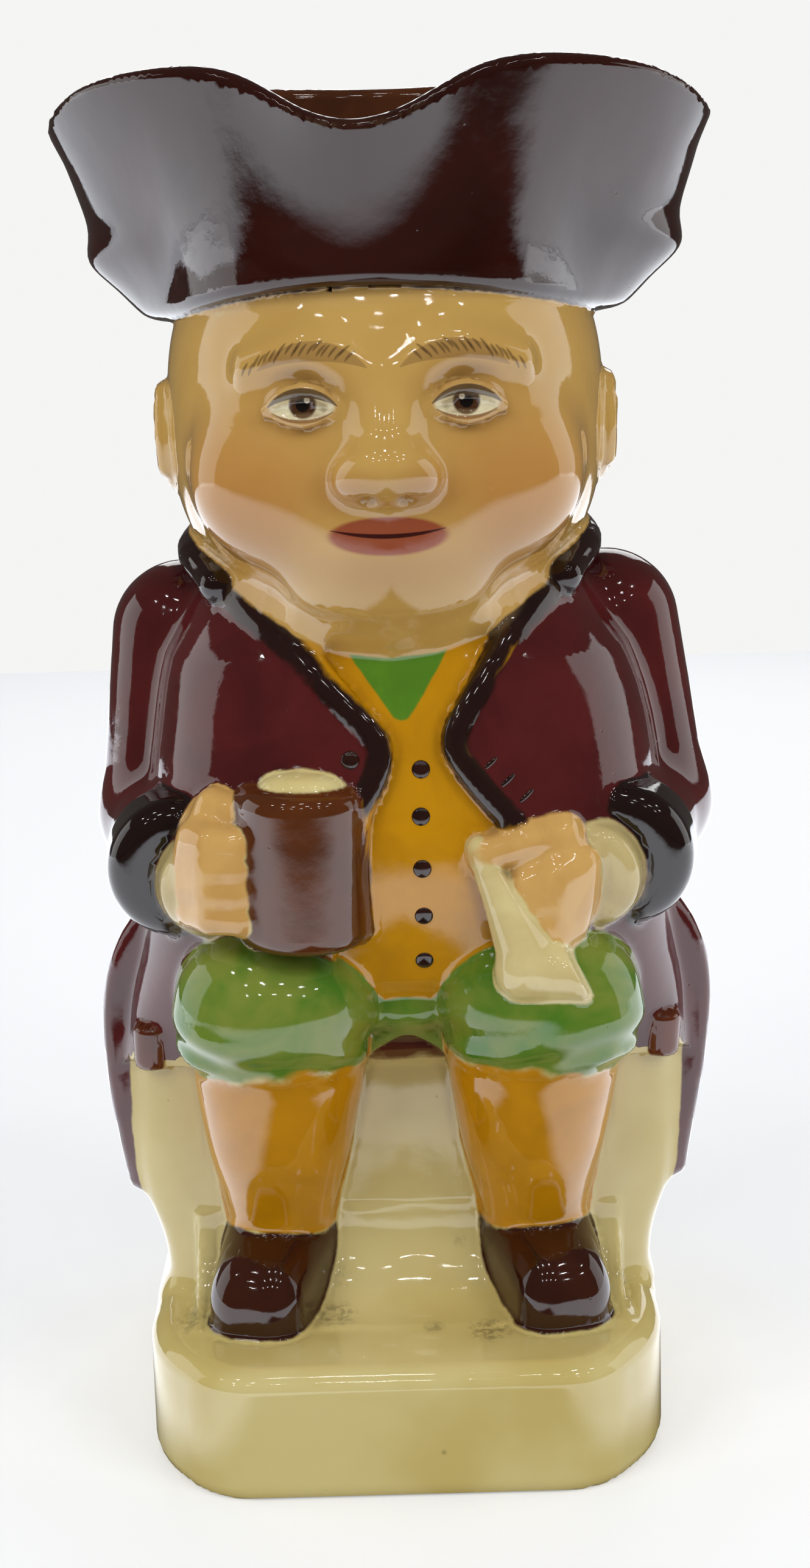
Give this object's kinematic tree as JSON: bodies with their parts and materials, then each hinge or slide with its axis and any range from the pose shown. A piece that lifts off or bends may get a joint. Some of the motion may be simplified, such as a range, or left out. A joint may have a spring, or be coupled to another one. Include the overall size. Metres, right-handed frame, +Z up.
{
  "type": "toby jug",
  "caption": "Glazed earthenware jug in the form of a seated man in a tricorn hat, holding a mug and a clay pipe, with the open hat as its mouth and spout and a loop handle at the back.",
  "frame": {"origin": "on the flat underside, under the middle of the seated figure", "axes": "+Z up through the figure, -Y the way that it faces, +X towards its left hand"},
  "size_m": [0.1108, 0.1333, 0.2331],
  "materials": {
    "glazed_earthenware": "underglaze painted in maroon, brown, ochre, green and cream under a clear high gloss glaze"
  },
  "bodies": {
    "root": {"jug": "glazed_earthenware"}
  },
  "joints": []
}
